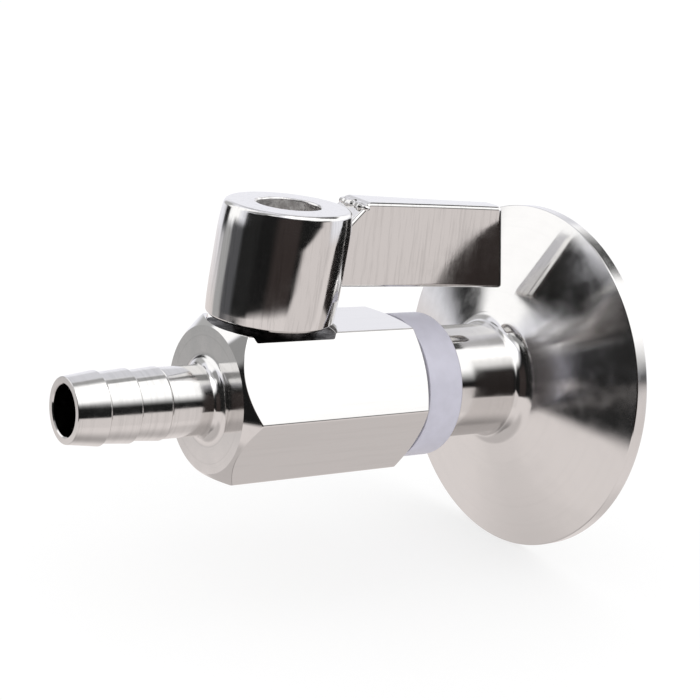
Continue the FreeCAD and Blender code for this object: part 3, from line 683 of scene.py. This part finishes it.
# painted shade: a dark grey for the white ring's end face, which sits in shade between the neck and the
# flange's cone
ring_end_painted_shade = plastic("ring_end_painted_shade", (0.20, 0.185, 0.19), 0.5, 0.004)
seat_finish = plastic("seat_plastic_finish", (0.85, 0.85, 0.83), 0.45, 0.002)
rubber_finish = plastic("seal_rubber_finish", (0.03, 0.03, 0.03), 0.55, 0.004)


def off_axis(at):
    """How far a spot is from the flow axis."""
    return math.hypot(at.y, at.z)


def off_stem(at):
    """How far a spot is from the stem's axis."""
    return math.hypot(at.x - STEM_X, at.y)


def on_barb(at):
    """On the barb or on the hexagon's flat front end, outside the bore."""
    return at.x < HEX_FRONT + 0.001 and off_axis(at) > 3.3


def in_hub_seat(at):
    """In the pocket under the hub or the stem's hole, not on the upper flat or the sloped ones."""
    over_slope = abs(at.y) * math.sqrt(0.75) + at.z / 2
    return BALL_CHAMBER < at.z < 9.95 and off_stem(at) < 8.55 and over_slope < 0.49 * ACROSS_FLATS


def on_neck(at):
    """On the neck's outside and the part of its fillet that is within 9.9 mm of the axis."""
    return at.x < -7.3 and 7.5 < off_axis(at) < 9.9


body = place(make_valve_body(), "valve", hexagon_steel, "polished_steel", "valve_body")
finish_where(body, barb_steel, on_barb)
# painted shade in the pocket and stem hole under the hub
finish_where(body, painted_shade_cast, in_hub_seat)
handle = place(make_handle(), "turning_group", handle_steel, "polished_steel", "handle")
# painted light inside the hub's recess
finish_where(handle, recess_painted_light_cast, lambda at: off_stem(at) < RECESS_RADIUS + 0.1)
# painted shade on the hub's underside
finish_where(handle, painted_shade_cast, lambda at: at.z < HUB_BASE + 0.05)
ferrule = place(make_ferrule(), "valve", turned_steel, "polished_steel", "ferrule")
finish_where(ferrule, neck_steel, on_neck)
ring = place(make_ring(), "valve", ring_finish, "white_plastic", "sealing_ring")
# the ring's end face round the neck gets a dark grey as painted shade, which the flange's cone mirrors as
# a darker patch
finish_where(ring, ring_end_painted_shade, lambda at: at.x > NECK_END - 0.22)

NODE_FINISH = {
    "ball": ball_steel,
    "seat_front": seat_finish, "seat_rear": seat_finish, "stem_thrust_washer": seat_finish,
    "body_seal": rubber_finish, "stem_o_ring_lower": rubber_finish, "stem_o_ring_upper": rubber_finish,
}
for name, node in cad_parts.items():
    node.data.materials.clear()
    node.data.materials.append(NODE_FINISH.get(name, machined_finish))


# Camera
CAMERA_TURN, CAMERA_LIFT, CAMERA_ROLL = -36.606, 14.950, 7.368      # degrees
CAMERA_LOOKS_AT, CAMERA_AWAY = Vector((-32.705, 0, 5.533)), 212.505
FOCAL_PIXELS, PHOTO_PIXELS, SENSOR = 1557.5, 700, 36


def make_camera():
    """The photograph's camera: where it stands, what it looks at and how far it is rolled."""
    turn, lift, roll = (math.radians(angle) for angle in (CAMERA_TURN, CAMERA_LIFT, CAMERA_ROLL))
    back = Vector((math.sin(turn) * math.cos(lift), -math.cos(turn) * math.cos(lift), math.sin(lift)))
    right = (-back).cross(Vector((0, 0, 1))).normalized()
    up = right.cross(-back)
    across = math.cos(roll) * right + math.sin(roll) * up
    along = -math.sin(roll) * right + math.cos(roll) * up
    eye = CAMERA_LOOKS_AT + back * CAMERA_AWAY
    made = bpy.data.objects.new("camera", bpy.data.cameras.new("camera"))
    made.data.lens = FOCAL_PIXELS / PHOTO_PIXELS * SENSOR
    made.data.clip_start = 0.01
    facing = Matrix((across, along, back)).transposed().to_4x4()
    made.matrix_world = Matrix.Translation(eye * MM) @ facing
    bpy.context.scene.collection.objects.link(made)
    bpy.context.scene.camera = made


make_camera()

# Studio
# What polished metal sees round it, by direction: azimuth and elevation in degrees. A card is a
# lamp, a flag or a gap between two: where its middle is, half its width and how soft its sides are;
# its top at its middle, the top's rise for a degree of azimuth and how soft it is; the same for its
# foot; its brightness and its tint.
Card = namedtuple("Card", "middle half edge top top_rise top_soft foot foot_rise foot_soft light tint")
PLAIN, WARM, COOL, BROWN = (1, 1, 1), (1.06, 0.99, 0.97), (0.985, 0.99, 1.05), (1.2, 0.95, 0.9)
GROUND_FAR, GROUND_BELOW = 0.80, 0.30           # brightness of the ground in reflections
SCATTER_ABOVE, SCATTER_BELOW = 1.25, 0.50       # and of the light that falls on scattering surfaces
STUDIO = [
    # the large softbox in front and above
    Card(-45, 75, 24, 110, 0, 4, 10, 0, 6, 1.42, PLAIN),
    Card(-55, 80, 24, 110, 0, 4, 56, 0, 16, 2.1, PLAIN),
    # the dark room under it, whose top falls to the right, and the brown wall in it
    Card(-130, 52, 10, 47, -0.27, 22, -18, 0, 5, 0.012, PLAIN),
    Card(-112, 24, 16, 30, 0, 12, -18, 0, 5, 0.035, BROWN),
    Card(-68, 29, 10, 26, -0.25, 28, -18, 0, 5, 0.012, PLAIN),
    # the table's edge that climbs to the right
    Card(-66, 28, 4, -5, 0.45, 5, -40, 0, 5, 0.74, WARM),
    # the lamp and the wall over the dark room's left part
    Card(-165, 17, 10, 62, 0, 8, 48, 0, 6, 1.2, PLAIN),
    Card(165, 40, 30, 84, 0, 10, 66, 0, 10, 0.52, PLAIN),
    Card(170, 20, 10, 66, 0, 8, 30, 0, 8, 0.35, PLAIN),
    # the light and dark parts of the room behind the object
    Card(8, 50, 20, 110, 0, 8, 30, 0, 10, 1.4, PLAIN),
    Card(44, 26, 10, 74, 0, 8, 58, 0, 8, 0.42, PLAIN),
    Card(16, 22, 6, 60, 0, 6, 37, 0, 6, 0.05, PLAIN),
    Card(60, 22, 8, 58, 0, 8, 22, 0, 8, 0.80, COOL),
    Card(81, 5, 5, 58, 0, 8, 40, 0, 8, 0.25, PLAIN),
    Card(95, 14, 10, 30, 0, 8, -2, 0, 8, 0.50, PLAIN),
    # the softbox on the far left, the dark band under it and the dark corner beside it
    Card(128, 20, 10, 62, 0, 8, -3, 0, 6, 1.3, PLAIN),
    Card(126, 12, 8, -3, 0, 5, -18, 0, 5, 0.44, PLAIN),
    Card(158, 22, 6, 0, 0, 5, -19, 0, 5, 0.10, COOL),
    Card(178, 16, 8, 24, 0, 5, -19, 0, 5, 0.02, PLAIN),
    Card(111, 8, 6, 8, 0.4, 12, -8, 0.2, 8, 0.02, COOL),
    # the ground in the object's own shadow, to the left and as the hexagon's lower face sees it
    Card(145, 75, 40, -42, 0, 12, -110, 0, 1, 0.56, WARM),
    Card(-14, 24, 16, -44, 0, 8, -62, 0, 8, 0.63, WARM),
]


def make_world():
    """Soft light from above for what scatters it, and the studio in reflections only."""
    world = bpy.data.worlds.new("studio")
    bpy.context.scene.world = world
    world.use_nodes = True
    world.node_tree.nodes.clear()
    nodes = Nodes(world.node_tree)
    degree = math.degrees(1)
    split = nodes.add("ShaderNodeSeparateXYZ")
    nodes.link(nodes.add("ShaderNodeTexCoord").outputs["Generated"], split.inputs[0])
    x, y, z = split.outputs
    azimuth = nodes.math("MULTIPLY", nodes.math("ARCTAN2", y, x), degree)
    elevation = nodes.math("MULTIPLY", nodes.math("ARCSINE", z), degree)
    from_below = nodes.step(elevation, -85.0, -50.0)
    ground = nodes.mix(from_below, tinted(GROUND_BELOW, WARM), tinted(GROUND_FAR, WARM))
    seen = nodes.mix(nodes.step(elevation, -14.0, -6.0), ground, tinted(1.0, COOL))
    for card in STUDIO:
        away = nodes.math("WRAP", nodes.math("SUBTRACT", azimuth, card.middle), 180.0, -180.0)
        half, edge = card.half, card.edge / 2
        side = nodes.step(nodes.math("ABSOLUTE", away), half - edge, half + edge, 1.0, 0.0)
        over = nodes.math("SUBTRACT", elevation, nodes.math("MULTIPLY", away, card.top_rise))
        under = nodes.math("SUBTRACT", elevation, nodes.math("MULTIPLY", away, card.foot_rise))
        lid = nodes.step(over, card.top - card.top_soft / 2, card.top + card.top_soft / 2, 1.0, 0.0)
        foot = nodes.step(under, card.foot - card.foot_soft / 2, card.foot + card.foot_soft / 2)
        share = nodes.math("MULTIPLY", side, nodes.math("MULTIPLY", lid, foot))
        seen = nodes.mix(share, seen, tinted(card.light, card.tint))
    height = nodes.step(z, -1.0, 1.0)
    scattered = nodes.mix(height, tinted(SCATTER_BELOW, PLAIN), tinted(SCATTER_ABOVE, PLAIN))
    path = nodes.add("ShaderNodeLightPath")
    lit = nodes.mix(path.outputs["Is Glossy Ray"], scattered, seen)
    shown = nodes.mix(path.outputs["Is Camera Ray"], lit, (1, 1, 1, 1))
    background = nodes.add("ShaderNodeBackground")
    nodes.link(shown, background.inputs["Color"])
    nodes.link(background.outputs[0], nodes.add("ShaderNodeOutputWorld").inputs["Surface"])


FLOOR_REACH, FLOOR_GLOW = 4.0, 0.7


def make_floor():
    """A wide pale floor under the flange; in reflections the studio's own ground stands for it.

    The camera sees it over-lit, as on a light table, so the object's shadow on it is faint.
    """
    level = cad_box[0][2]
    signs = ((-1, -1), (1, -1), (1, 1), (-1, 1))
    corners = [(x * FLOOR_REACH, y * FLOOR_REACH, level) for x, y in signs]
    made = mesh_object("floor", corners, [(0, 1, 2, 3)])
    finish, shader, nodes = new_material("pale_floor", (0.95, 0.95, 0.95), 0.0, 1.0)
    shader.inputs["Specular IOR Level"].default_value = 0
    seen = nodes.add("ShaderNodeLightPath").outputs["Is Camera Ray"]
    blend = nodes.add("ShaderNodeMixShader")
    nodes.link(nodes.math("MULTIPLY", seen, FLOOR_GLOW), blend.inputs[0])
    nodes.link(shader.outputs[0], blend.inputs[1])
    nodes.link(nodes.add("ShaderNodeEmission").outputs[0], blend.inputs[2])
    nodes.link(blend.outputs[0], finish.node_tree.nodes["Material Output"].inputs["Surface"])
    made.data.materials.append(finish)
    made.visible_glossy = False


make_floor()
make_world()
bpy.context.scene.view_settings.view_transform = "Standard"
